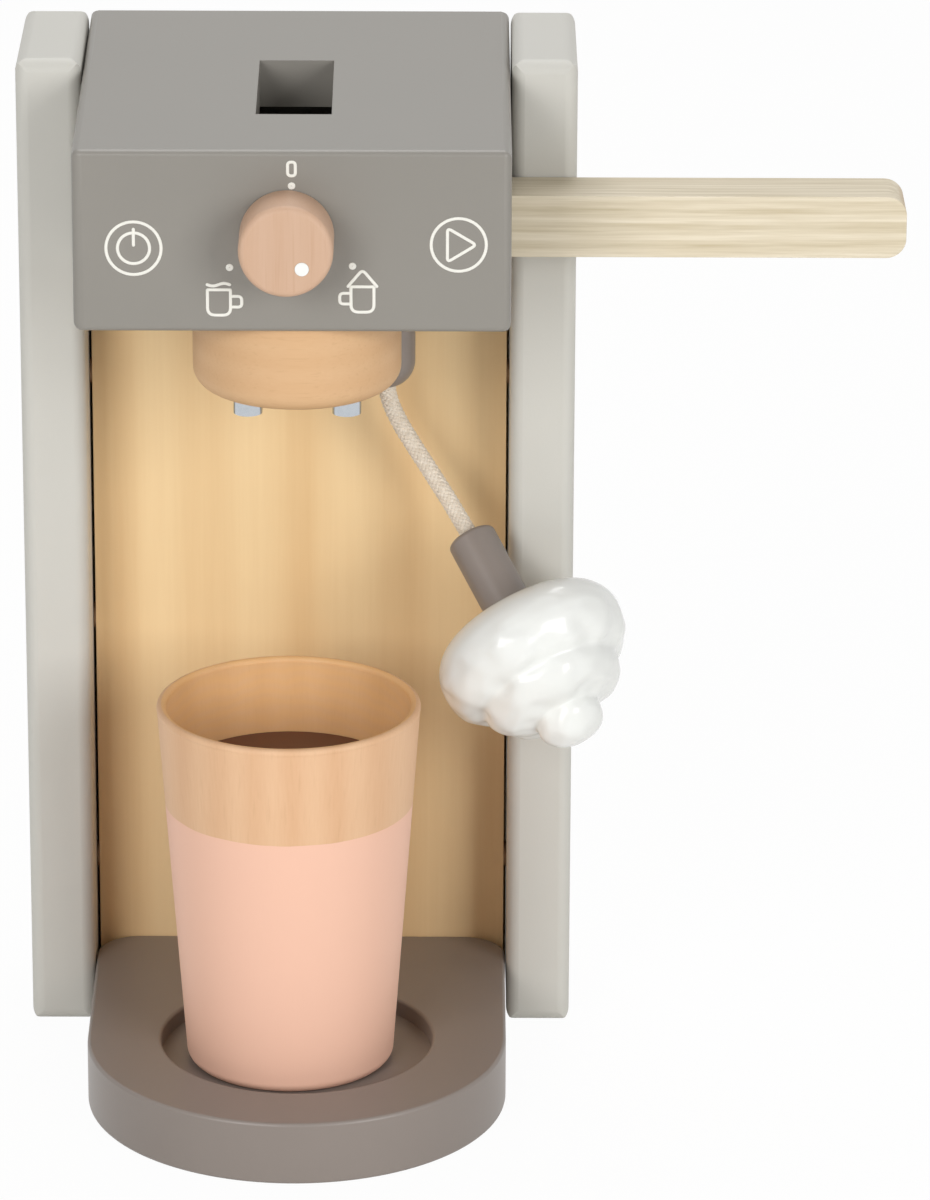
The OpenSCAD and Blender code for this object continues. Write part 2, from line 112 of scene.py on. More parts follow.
away = Vector((sin(VIEW_AZIMUTH) * cos(VIEW_ELEVATION), -cos(VIEW_AZIMUTH) * cos(VIEW_ELEVATION),
               sin(VIEW_ELEVATION)))
level_right = Vector((cos(VIEW_AZIMUTH), sin(VIEW_AZIMUTH), 0))
level_up = away.cross(level_right)
right = cos(VIEW_ROLL) * level_right + sin(VIEW_ROLL) * level_up
up = cos(VIEW_ROLL) * level_up - sin(VIEW_ROLL) * level_right
lens = bpy.data.cameras.new("camera")
lens.lens = LENS_MM
lens.sensor_width = SENSOR_MM
lens.clip_start = NEAREST
camera = bpy.data.objects.new("camera", lens)
camera.matrix_world = Matrix.Translation(VIEW_TARGET + away * VIEW_DISTANCE) @ Matrix(
    (right, up, away)).transposed().to_4x4()
bpy.context.scene.collection.objects.link(camera)
bpy.context.scene.camera = camera
print("camera at", [round(c / MM) for c in camera.matrix_world.translation], "mm")

# %% [markdown]
# ## Cotton, and the way to keep a pattern on a moving thread
# The cord is woven from unbleached cotton: cream, dull, with a soft glow at its edges where loose
# fibres catch the light. Each thread carries its own number, so the material can make one thread a
# little darker than its neighbour. That number is an attribute of the mesh and bends with the cord.

# %% Woven cotton
def new_material(name, roughness, **values):
    """A principled material. values are numbers or colours set on the shader's own inputs."""
    material = bpy.data.materials.new(name)
    material.use_nodes = True
    tree = material.node_tree
    shader = tree.nodes["Principled BSDF"]
    shader.inputs["Roughness"].default_value = roughness
    for socket, value in values.items():
        shader.inputs[socket.replace("_", " ")].default_value = value
    return material, tree, shader


def coat(tree, shader, colour, height, strength, depth):
    """The end of a material: its colour, and a fine relief that follows a pattern, depth metres deep."""
    relief = add(tree, "ShaderNodeBump", {"Height": height, "Strength": strength, "Distance": depth})
    tree.links.new(colour, shader.inputs["Base Color"])
    tree.links.new(relief.outputs["Normal"], shader.inputs["Normal"])


def unbleached_cotton():
    """Twisted cotton thread: no gloss, fuzzy edges, darker where the twist turns away."""
    material, tree, shader = new_material("unbleached_cotton", 0.9, Sheen_Weight=0.35)
    thread = add(tree, "ShaderNodeAttribute", attribute_name="thread")
    place = add(tree, "ShaderNodeTexCoord")
    fibre_mm = 0.35  # real fibres are a tenth of this, drawn coarser so that they show
    fuzz = add(tree, "ShaderNodeTexNoise",
               {"Vector": place.outputs["Object"], "Scale": 1 / (fibre_mm * MM), "Detail": 3})
    # Inputs 6 and 7 of a Mix node are its two colours, and its output 2 is the mixed colour
    tint = add(tree, "ShaderNodeMix",
               {"Factor": thread.outputs["Fac"], 6: linear("ece2d3"), 7: linear("cfc0aa")},
               data_type="RGBA")
    mottled = add(tree, "ShaderNodeMix",
                  {"Factor": fuzz.outputs["Fac"], 6: tint.outputs[2], 7: linear("e9ddcd")},
                  data_type="RGBA")
    coat(tree, shader, mottled.outputs[2], fuzz.outputs["Fac"], strength=0.5, depth=0.15 * MM)
    return material


cotton = unbleached_cotton()
print("made", cotton.name)

# %% [markdown]
# ## The frother's cord
# A braided cord is two families of threads that wind around a core in opposite directions and pass
# over and under each other. It could be a smooth tube with a bump pattern, but a tube this close to
# the eye keeps a smooth outline and gives itself away. Here Geometry Nodes lays every thread: a row
# of points for each thread is wound along the route, and each thread becomes a thin tube. The cord
# is short and stiff enough to hold the nozzle out at a slant, and its route is one gentle curve
# from the peg to the nozzle, with no bend tighter than three diameters.

# %% Route of the cord
peg_low, peg_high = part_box("frother_peg")
PEG_DROP = 32 * MM  # how far the peg reaches below the head
PEG_END = Vector(((peg_low.x + peg_high.x) / 2, (peg_low.y + peg_high.y) / 2,
                  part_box("head_floor")[0].z - PEG_DROP))
WAND_TILT, WAND_HEADING = radians(49), radians(-53.5)
WAND_AXIS = Vector((sin(WAND_TILT) * cos(WAND_HEADING), sin(WAND_TILT) * sin(WAND_HEADING), -cos(WAND_TILT)))
CORD_D = 4.2 * MM
# The centre line in millimetres from the peg's end. Its first two points are inside the peg
OFFSETS_MM = [(0, 0, 7), (0, 0, 3.5), (0, 0, 0), (0.43, 0.2, -2.9), (1.35, 0.6, -5.7), (2.57, 0.9, -8.45),
              (3.94, 1.05, -11.1), (5.46, 1.05, -13.65), (7.03, 0.8, -16.2), (8.64, 0.35, -18.65),
              (10.26, -0.35, -21.05), (11.87, -1.25, -23.4), (13.48, -2.4, -25.65), (15.04, -3.7, -27.85),
              (16.54, -5.15, -30), (18, -6.75, -32.05), (19.4, -8.5, -34)]
NOZZLE_TOP = PEG_END + Vector(OFFSETS_MM[-1]) * MM
inside_nozzle = [NOZZLE_TOP + depth * MM * WAND_AXIS for depth in (3, 6)]
route = [PEG_END + Vector(p) * MM for p in OFFSETS_MM] + inside_nozzle


def smooth_route(points, steps):
    """Points on one smooth curve through all the given points."""
    ends = [points[0], *points, points[-1]]
    curve = []
    for a, b, c, d in zip(ends, ends[1:], ends[2:], ends[3:]):
        for t in (k / steps for k in range(steps)):
            curve.append(0.5 * (2 * b + (c - a) * t + (2 * a - 5 * b + 4 * c - d) * t * t
                                + (3 * b - 3 * c + d - a) * t ** 3))
    return curve + [points[-1]]


cord_line = smooth_route(route, 6)
cord_length = sum((b - a).length for a, b in zip(cord_line, cord_line[1:]))
print("the cord's whole length is", round(cord_length / MM, 1), "mm")

# %% Braid tree
def new_tree(name, sizes, whole_numbers=()):
    """A geometry tree with one geometry input and output and the named sizes as inputs."""
    tree = bpy.data.node_groups.new(name, "GeometryNodeTree")
    tree.interface.new_socket("Geometry", in_out="INPUT", socket_type="NodeSocketGeometry")
    for size in sizes:
        kind = "NodeSocketInt" if size in whole_numbers else "NodeSocketFloat"
        tree.interface.new_socket(size, in_out="INPUT", socket_type=kind)
    tree.interface.new_socket("Material", in_out="INPUT", socket_type="NodeSocketMaterial")
    tree.interface.new_socket("Geometry", in_out="OUTPUT", socket_type="NodeSocketGeometry")
    return tree, add(tree, "NodeGroupInput"), add(tree, "NodeGroupOutput")


def finish(tree, geometry, given, result):
    """The end of every tree: smooth faces, real instances and the material."""
    smooth = add(tree, "GeometryNodeSetShadeSmooth", {0: geometry})
    real = add(tree, "GeometryNodeRealizeInstances", {"Geometry": smooth})
    painted = add(tree, "GeometryNodeSetMaterial",
                  {"Geometry": real, "Material": given.outputs["Material"]})
    tree.links.new(painted.outputs[0], result.inputs["Geometry"])


def bake(piece):
    """Applies a piece's modifiers, so that only a plain mesh is left."""
    graph = bpy.context.evaluated_depsgraph_get()
    piece.data = bpy.data.meshes.new_from_object(piece.evaluated_get(graph), depsgraph=graph)
    piece.data.name = piece.name
    piece.modifiers.clear()


def grow(piece, tree, **inputs):
    """Runs a geometry tree on a piece with the given inputs and keeps the result as a plain mesh."""
    modifier = piece.modifiers.new(tree.name, "NODES")
    modifier.node_group = tree
    for item in tree.interface.items_tree:
        if item.in_out == "INPUT" and item.name.replace(" ", "_") in inputs:
            modifier[item.identifier] = inputs[item.name.replace(" ", "_")]
    bake(piece)


def braid_tree():
    """Winds threads both ways along a line, each passing over and under the others."""
    core_share = 0.88  # the core's radius as a share of the braid's
    tint_step = 0.37  # how far neighbouring threads lie apart on the scale of tints
    sizes = ["Threads", "Points", "Winding", "Radius", "Thread Radius", "Lift"]
    tree, given, result = new_tree("braid", sizes, ["Threads", "Points"])
    line = add(tree, "GeometryNodeMeshToCurve", {"Mesh": given.outputs["Geometry"]})
    bare = add(tree, "GeometryNodeCurvePrimitiveLine")
    fine = add(tree, "GeometryNodeResampleCurve", {"Curve": bare, "Count": given.outputs["Points"]})
    copies = add(tree, "GeometryNodeDuplicateElements",
                 {"Geometry": fine, "Amount": given.outputs["Threads"]}, domain="SPLINE")
    thread = copies.outputs["Duplicate Index"]
    along = add(tree, "GeometryNodeSplineParameter").outputs["Factor"]
    odd = add(tree, "ShaderNodeMath", {0: thread, 1: 2.0}, operation="MODULO")
    way = add(tree, "ShaderNodeMapRange", {"Value": odd, "To Min": 1.0, "To Max": -1.0})
    wind = add(tree, "ShaderNodeMath", {0: along, 1: given.outputs["Winding"]}, operation="MULTIPLY")
    spacing = add(tree, "ShaderNodeMath", {0: 2 * pi, 1: given.outputs["Threads"]}, operation="DIVIDE")
    start = add(tree, "ShaderNodeMath", {0: thread, 1: spacing}, operation="MULTIPLY")
    angle = add(tree, "ShaderNodeMath", {0: wind, 1: way, 2: start}, operation="MULTIPLY_ADD")
    pairs = add(tree, "ShaderNodeMath", {0: given.outputs["Threads"], 1: 2.0}, operation="DIVIDE")
    beat = add(tree, "ShaderNodeMath", {0: wind, 1: pairs}, operation="MULTIPLY")
    wave = add(tree, "ShaderNodeMath", {0: beat}, operation="SINE")
    over = add(tree, "ShaderNodeMath", {0: wave, 1: way}, operation="MULTIPLY")
    reach = add(tree, "ShaderNodeMath", {0: over, 1: given.outputs["Lift"], 2: given.outputs["Radius"]},
                operation="MULTIPLY_ADD")
    at = add(tree, "GeometryNodeSampleCurve", {"Curves": line, "Factor": along}, mode="FACTOR",
             use_all_curves=True)
    outward = add(tree, "ShaderNodeVectorRotate",
                  {"Vector": at.outputs["Normal"], "Axis": at.outputs["Tangent"], "Angle": angle},
                  rotation_type="AXIS_ANGLE")
    place = add(tree, "ShaderNodeVectorMath", {0: outward, 1: reach, 2: at.outputs["Position"]},
                operation="MULTIPLY_ADD")
    wound = add(tree, "GeometryNodeSetPosition",
                {"Geometry": copies.outputs["Geometry"], "Position": place})
    number = add(tree, "ShaderNodeMath", {0: thread, 1: tint_step}, operation="MULTIPLY")
    shade = add(tree, "ShaderNodeMath", {0: number}, operation="FRACT")
    tinted = add(tree, "GeometryNodeStoreNamedAttribute",
                 {"Geometry": wound, "Name": "thread", "Value": shade}, data_type="FLOAT", domain="POINT")
    thread_ring = add(tree, "GeometryNodeCurvePrimitiveCircle",
                      {"Resolution": 6, "Radius": given.outputs["Thread Radius"]})
    tubes = add(tree, "GeometryNodeCurveToMesh",
                {"Curve": tinted, "Profile Curve": thread_ring, "Fill Caps": True})
    core_radius = add(tree, "ShaderNodeMath", {0: given.outputs["Radius"], 1: core_share},
                      operation="MULTIPLY")
    core_ring = add(tree, "GeometryNodeCurvePrimitiveCircle", {"Resolution": 16, "Radius": core_radius})
    core = add(tree, "GeometryNodeCurveToMesh",
               {"Curve": line, "Profile Curve": core_ring, "Fill Caps": True})
    both = add(tree, "GeometryNodeJoinGeometry", {"Geometry": tubes})
    tree.links.new(core.outputs[0], both.inputs[0])
    finish(tree, both, given, result)
    return tree


braid = braid_tree()
print("the braid tree has", len(braid.nodes), "nodes")

# %% Braided cord
def own(piece, body, slot, material, *replaced):
    """Sets what a finished piece rides on, its material and the nodes that it stands for. slot is not used.
    """
    piece.data.materials.clear()
    piece.data.materials.append(material)
    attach(piece, body)
    if replaced:
        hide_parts(*replaced)


THREADS = 16
THREAD_R = 0.44 * MM
LIFT = 0.16 * MM  # how far a thread rises where it passes over another
POINTS_PER_CROSSING = 8
braid_radius = CORD_D / 2 - THREAD_R - LIFT
turns = cord_length / (2 * pi * braid_radius)  # one turn in a circumference: threads cross squarely
cord = new_piece("braided_cord", cord_line, [(i, i + 1) for i in range(len(cord_line) - 1)])
grow(cord, braid, Threads=THREADS, Points=int(turns * THREADS / 2 * POINTS_PER_CROSSING),
     Winding=2 * pi * turns, Radius=braid_radius, Thread_Radius=THREAD_R, Lift=LIFT, Material=cotton)
own(cord, "frame", "woven_cord", cotton, "frother_cord")
print(THREADS, "threads,", round(turns, 1), "turns each,", len(cord.data.polygons), "faces")

# %% [markdown]
# ## Floor and light
# Small products are photographed in a tent of white cloth: light from all sides, a stronger lamp
# above the right shoulder, a weaker one at the left and one high behind, which lights the tops of
# the boards and of the head but not what stands under the head. The tent is the world's colour.
# The floor is white card, which also throws light up under the head. To the camera most of the card
# shines by itself, so that it stays white, and the rest is lit, so that it keeps the toy's shadow.

# %% White card
FLOOR_HALF = 4.0  # metres
CARD_GLOW = 0.96  # the share of the card that shines by itself


def seen(tree):
    """A node that gives 1 for what the camera or a reflection sees, and 0 for light that falls on things."""
    path = add(tree, "ShaderNodeLightPath")
    return add(tree, "ShaderNodeMath", {0: path.outputs["Is Camera Ray"], 1: path.outputs["Is Glossy Ray"]},
               operation="MAXIMUM")


def white_card():
    """Matt white card, most of which looks plain white to the camera and to reflections."""
    material, tree, shader = new_material("white_card", 0.9, Base_Color=linear("f2f2f0"))
    share = add(tree, "ShaderNodeMath", {0: seen(tree), 1: CARD_GLOW}, operation="MULTIPLY")
    glow = add(tree, "ShaderNodeEmission", {"Color": linear("ffffff"), "Strength": 1.0})
    mixed = add(tree, "ShaderNodeMixShader", {0: share, 1: shader, 2: glow})
    tree.links.new(mixed.outputs[0], tree.nodes["Material Output"].inputs["Surface"])
    return material


floor = new_piece("floor", [(-FLOOR_HALF, -FLOOR_HALF, 0), (FLOOR_HALF, -FLOOR_HALF, 0),
                            (FLOOR_HALF, FLOOR_HALF, 0), (-FLOOR_HALF, FLOOR_HALF, 0)], faces=[(0, 1, 2, 3)])
floor.data.materials.append(white_card())
print("a white card", 2 * FLOOR_HALF, "metres wide")

# %% Tent
TENT = 0.27  # how brightly the cloth lights the toy

world = bpy.data.worlds.new("tent")
bpy.context.scene.world = world
world.use_nodes = True
tent = world.node_tree
level = add(tent, "ShaderNodeMapRange", {"Value": seen(tent), "To Min": TENT, "To Max": 1.0})
cloth = tent.nodes["Background"]
cloth.inputs["Color"].default_value = linear("ffffff")
tent.links.new(level.outputs[0], cloth.inputs["Strength"])
print("a tent of white cloth at strength", TENT)

# %% Lamps
def lamp(name, place, aim, size, watts):
    """A square soft lamp that looks at the aim point."""
    light = bpy.data.lights.new(name, "AREA")
    light.size = size
    light.energy = watts
    holder = bpy.data.objects.new(name, light)
    holder.location = place
    holder.rotation_euler = (Vector(place) - Vector(aim)).to_track_quat("Z", "Y").to_euler()
    bpy.context.scene.collection.objects.link(holder)


toy_middle, head_middle = (0, 0.02, 0.11), (0, 0.03, 0.22)  # all places of lamps are in metres
lamp("key", (1.15, -1.4, 0.7), toy_middle, size=0.85, watts=15.7)
lamp("fill", (-0.8, -1.5, 0.8), toy_middle, size=0.85, watts=14.4)
lamp("top", (0, 0.55, 1.2), head_middle, size=0.7, watts=6)
bpy.context.scene.view_settings.view_transform = "Standard"
print("three soft lamps")

# %% [markdown]
# ## Satin paint
# The boards are sanded, primed and sprayed with a water-based paint. Spraying leaves a very fine
# orange peel, which breaks up reflections, and the colour drifts a little where the coat is thinner.
# At a flat angle the satin surface still mirrors the white room, which is why a painted top looks
# paler and greyer than the front below it. The base, the peg and the nozzle get the same grey made
# a touch browner. That is painted bounce light: it stands in for the warm light that the wood and
# the cup reflect onto them.

# %% Satin paint
def satin_paint(name, colour, thin_colour, roughness):
    """Sprayed satin paint: even colour, a faint drift, fine orange peel."""
    material, tree, shader = new_material(name, roughness)
    place = add(tree, "ShaderNodeTexCoord")
    drift_mm, peel_mm = 35, 0.7
    drift = add(tree, "ShaderNodeTexNoise",
                {"Vector": place.outputs["Object"], "Scale": 1 / (drift_mm * MM), "Detail": 2})
    tint = add(tree, "ShaderNodeMix",
               {"Factor": drift.outputs["Fac"], 6: linear(colour), 7: linear(thin_colour)},
               data_type="RGBA")
    peel = add(tree, "ShaderNodeTexNoise",
               {"Vector": place.outputs["Object"], "Scale": 1 / (peel_mm * MM), "Detail": 2})
    gloss = add(tree, "ShaderNodeMapRange",
                {"Value": drift.outputs["Fac"], "To Min": roughness - 0.05, "To Max": roughness + 0.07})
    tree.links.new(gloss.outputs[0], shader.inputs["Roughness"])
    coat(tree, shader, tint.outputs[2], peel.outputs["Fac"], strength=0.35, depth=0.04 * MM)
    return material


light_paint = satin_paint("light_grey_satin", "c8c6be", "cbc9c2", 0.5)
dark_paint = satin_paint("warm_grey_satin", "86827b", "8b8780", 0.38)
# painted bounce light: the head's grey made browner, standing in for warm light from the wood and the cup
bounce_tinted_paint = satin_paint("brown_grey_satin", "877d76", "8c827b", 0.38)


def dress(material, *names):
    """Gives CAD nodes a material and leaves their meshes alone."""
    for name in names:
        nodes[name].material_slots[0].material = material


dress(light_paint, "left_side_board", "right_side_board")
print("mixed", light_paint.name, dark_paint.name, "and", bounce_tinted_paint.name)

# %% [markdown]
# ## The painted head
# The head is a box of six boards. After gluing it is filled and painted as one, so no joint shows.
# The six CAD boards are copied, welded and united into one shell, which keeps the slot, the
# lever's gate and the holes where they are, and then the outer edges are rounded. Sharp edges
# look drawn, and a rounding of almost two millimetres catches the thin line of light that says
# painted wood.

# %% Copies of CAD nodes
TOUCH = 0.01 * MM  # points closer than this lie on each other or on one face


def weld(mesh, result):
    """Joins a mesh's loose triangles, makes each flat area one face and counts the open edges."""
    shape = bmesh.new()
    shape.from_mesh(mesh)
    bmesh.ops.remove_doubles(shape, verts=shape.verts, dist=TOUCH / 5)
    bmesh.ops.dissolve_limit(shape, angle_limit=radians(0.5), verts=shape.verts, edges=shape.edges)
    shape.to_mesh(result)
    still_open = sum(not e.is_manifold for e in shape.edges)
    shape.free()
    return still_open


def welded_copy(name, source):
    """A new piece from a copy of a CAD node."""
    piece = new_piece(name)
    weld(nodes[source].data, piece.data)
    return piece


def round_edges(piece, width, segments, chosen=None):
    """Rounds a piece's sharp edges, or only those that chosen() accepts, and shades it smooth."""
    still_curved, corner = radians(35), radians(40)
    mesh = piece.data
    if chosen:
        weights = mesh.attributes.new("bevel_weight_edge", "FLOAT", "EDGE")
        places = [v.co for v in mesh.vertices]
        weights.data.foreach_set("value", [float(chosen(places[e.vertices[0]], places[e.vertices[1]]))
                                           for e in mesh.edges])
    mesh.shade_smooth()
    mesh.set_sharp_from_angle(angle=still_curved)
    bevel = piece.modifiers.new("rounding", "BEVEL")
    bevel.width = width
    bevel.segments = segments
    bevel.limit_method = "WEIGHT" if chosen else "ANGLE"
    bevel.angle_limit = corner
    bevel.mark_sharp = False
    flats = piece.modifiers.new("flat areas stay flat", "WEIGHTED_NORMAL")
    flats.keep_sharp = True
    flats.weight = 100
    bake(piece)


print("the back board comes as", len(nodes["back_panel"].data.polygons), "loose triangles")

# %% Head shell
HEAD_NODES = ["head_front_board", "head_top_board", "head_left_cheek", "head_right_cheek", "head_floor",
              "head_back_board"]
head = welded_copy("painted_head", HEAD_NODES[0])
for other in HEAD_NODES[1:]:
    board = welded_copy("board", other)
    union = head.modifiers.new("glue", "BOOLEAN")
    union.operation = "UNION"
    union.solver = "EXACT"
    union.object = board
    bake(head)
    bpy.data.objects.remove(board)
print("open edges in the head:", weld(head.data, head.data))
head_low = Vector([min(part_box(n)[0][i] for n in HEAD_NODES) for i in range(3)])
head_high = Vector([max(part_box(n)[1][i] for n in HEAD_NODES) for i in range(3)])
HEAD_FRONT_HEIGHT = 42 * MM  # the lid rises from this height to the back
lid_slope = (head_high.z - head_low.z - HEAD_FRONT_HEIGHT) / (head_high.y - head_low.y)


def outer_faces(p):
    """The numbers of the head's outer faces that the point lies on."""
    lid = head_low.z + HEAD_FRONT_HEIGHT + (p.y - head_low.y) * lid_slope
    gaps = (p.x - head_low.x, head_high.x - p.x, p.y - head_low.y, head_high.y - p.y, p.z - head_low.z,
            lid - p.z)
    return {i for i, gap in enumerate(gaps) if abs(gap) < 2 * TOUCH}


def on_outside(a, b):
    """True for an edge where two outer faces of the head meet."""
    return len(outer_faces(a) & outer_faces(b)) > 1


round_edges(head, width=1.8 * MM, segments=4, chosen=on_outside)
own(head, "frame", "dark_paint", dark_paint, *HEAD_NODES)
print("head shell:", len(head.data.polygons), "faces")

# %% [markdown]
# ## The base plate
# The base is sawn from one board and painted by itself. Only the rims of its top and underside are
# sanded, so a small bevel on the level edges is enough, and the curve and the recess stay as cut.

# %% Base plate
base = welded_copy("base_board", "base_plate")
base_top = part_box("base_plate")[1].z


def on_a_rim(a, b):
    """True for a level edge at the board's top or bottom."""
    return abs(a.z - b.z) < TOUCH and (a.z > base_top - TOUCH or a.z < TOUCH)


round_edges(base, width=0.7 * MM, segments=3, chosen=on_a_rim)
# the base, peg and nozzle get the browner grey, which is painted bounce light from the wood and the cup
own(base, "frame", "dark_paint", bounce_tinted_paint, "base_plate")
dress(bounce_tinted_paint, "frother_peg", "frother_nozzle")
print("base board:", len(base.data.polygons), "faces")

# %% [markdown]
# ## Bare wood
# Three woods are left bare under a thin coat of oil. All are one pattern with different numbers:
# bands of summer and winter growth, stretched some thirty times along the grain, fine fibres on
# top, and in beech the short dark flecks of its rays. Ends of the fibres soak up more oil, so faces
# across the grain are darker.

# %% Wood
AXES = {"X": (1, 0, 0), "Y": (0, 1, 0), "Z": (0, 0, 1)}
WAVE_MM = 314  # a wave texture at scale 1 repeats every 0.314 m


def oiled_wood(name, pale, dark, grain, across, ring_mm, contrast, fibre_mm=0.6, streaks=0.45,
               fleck=0.0, end_dark=0.0):
    """Oiled wood whose fibres run along the axis grain and whose growth bands lie across the other.

    fibre_mm is the width of the fine streaks and streaks is their strength. Real fibres are finer
    than a picture can show.
    """
    material, tree, shader = new_material(name, 0.55)
    place = add(tree, "ShaderNodeTexCoord")
    drawn_out = 0.97  # the share that the pattern loses of its scale along the grain
    stretch = [1 - drawn_out * a for a in AXES[grain]]
    heart = (0.013, 0.017, 0.011)  # moves the blank off the middle of the pattern
    along = add(tree, "ShaderNodeMapping",
                {"Vector": place.outputs["Object"], "Scale": stretch, "Location": heart})
    bands = add(tree, "ShaderNodeTexWave",
                {"Vector": along, "Scale": WAVE_MM / ring_mm, "Distortion": 5.0, "Detail": 2,
                 "Detail Scale": 0.35, "Detail Roughness": 0.5}, bands_direction=across)
    fibres = add(tree, "ShaderNodeTexNoise",
                 {"Vector": along, "Scale": 1 / (fibre_mm * MM), "Detail": 4, "Roughness": 0.6})
    cloud_mm = 14
    clouds = add(tree, "ShaderNodeTexNoise", {"Vector": along, "Scale": 1 / (cloud_mm * MM), "Detail": 2})
    grown = add(tree, "ShaderNodeMath", {0: bands.outputs["Fac"], 1: clouds.outputs["Fac"]},
                operation="MULTIPLY")
    level = 0.225 - streaks / 2  # keeps the wood's mean colour where it is, whatever the strength
    mixed = add(tree, "ShaderNodeMath", {0: grown, 1: contrast, 2: level}, operation="MULTIPLY_ADD")
    fine = add(tree, "ShaderNodeMath", {0: fibres.outputs["Fac"], 1: streaks, 2: mixed},
               operation="MULTIPLY_ADD")
    colour = add(tree, "ShaderNodeMix", {"Factor": fine, 6: linear(pale), 7: linear(dark)},
                 data_type="RGBA").outputs[2]
    if fleck:
        fleck_mm = 0.55
        rays = add(tree, "ShaderNodeTexNoise", {"Vector": along, "Scale": 1 / (fleck_mm * MM), "Detail": 1})
        spots = add(tree, "ShaderNodeMapRange",
                    {"Value": rays.outputs["Fac"], "From Min": 0.6, "From Max": 0.72, "To Max": fleck})
        colour = add(tree, "ShaderNodeMix", {"Factor": spots, 6: colour, 7: linear("a8754c")},
                     data_type="RGBA").outputs[2]
    if end_dark:
        facing = add(tree, "ShaderNodeNewGeometry")
        towards = add(tree, "ShaderNodeVectorMath", {0: facing.outputs["Normal"], 1: AXES[grain]},
                      operation="DOT_PRODUCT")
        amount = add(tree, "ShaderNodeMath", {0: towards.outputs["Value"]}, operation="ABSOLUTE")
        soak = add(tree, "ShaderNodeMapRange",
                   {"Value": amount, "From Min": 0.6, "From Max": 1.0, "To Max": end_dark})
        colour = add(tree, "ShaderNodeMix", {"Factor": soak, 6: colour, 7: linear("b5906a")},
                     data_type="RGBA").outputs[2]
    coat(tree, shader, colour, fibres.outputs["Fac"], strength=0.3, depth=0.06 * MM)
    return material


panel_wood = oiled_wood("oiled_lime", "f2d6a6", "dab27c", "Z", "X", ring_mm=24, contrast=0.7,
                        fibre_mm=2.2, streaks=0.35)
lever_wood = oiled_wood("oiled_ash", "e4d9c3", "b3a27d", "X", "Z", ring_mm=4, contrast=0.5,
                        fibre_mm=1.1, streaks=1.5, end_dark=0.5)
beech = oiled_wood("oiled_beech", "e6be98", "d5a47a", "Z", "X", ring_mm=9, contrast=0.6, fleck=0.12)
disc_beech = oiled_wood("oiled_beech_disc", "d6b085", "c99b6e", "X", "Z", ring_mm=6, contrast=0.35,
                        fleck=0.12)
knob_beech = oiled_wood("oiled_beech_knob", "ccab92", "be9677", "Z", "X", ring_mm=7, contrast=0.4,
                        fleck=0.12)
print("five blanks of three woods")

# %% Panel, lever and turned pieces
panel = welded_copy("back_board", "back_panel")
panel_front, panel_back = (corner.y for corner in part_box("back_panel"))


def on_a_face(a, b):
    """True for a long edge of the panel's front or back face, but not for the rim of a screw's hole."""
    in_front = all(p.y < panel_front + TOUCH for p in (a, b))
    behind = all(p.y > panel_back - TOUCH for p in (a, b))
    return (in_front or behind) and (a - b).length > 20 * MM


round_edges(panel, width=0.5 * MM, segments=2, chosen=on_a_face)
own(panel, "frame", "limewood", panel_wood, "back_panel")
lever = welded_copy("press_lever", "lever_bar")
round_edges(lever, width=0.5 * MM, segments=3)
own(lever, "lever", "palewood", lever_wood, "lever_bar")
dress(disc_beech, "brew_disc")
dress(knob_beech, "selector_knob")
dress(beech, "frame_dowels")
print("wooden pieces dressed")

# %% [markdown]
# ## The cup
# The cup is turned from one block of beech and dipped in pink paint up to a line. The material
# mixes bare beech and paint by height and by the distance from the axis, so that the paint is only
# on the outside, with a slightly uneven line. The hollow is cut across the fibres, which drink more
# oil there, so the inside is a deeper honey colour with faint rings from the turning tool.

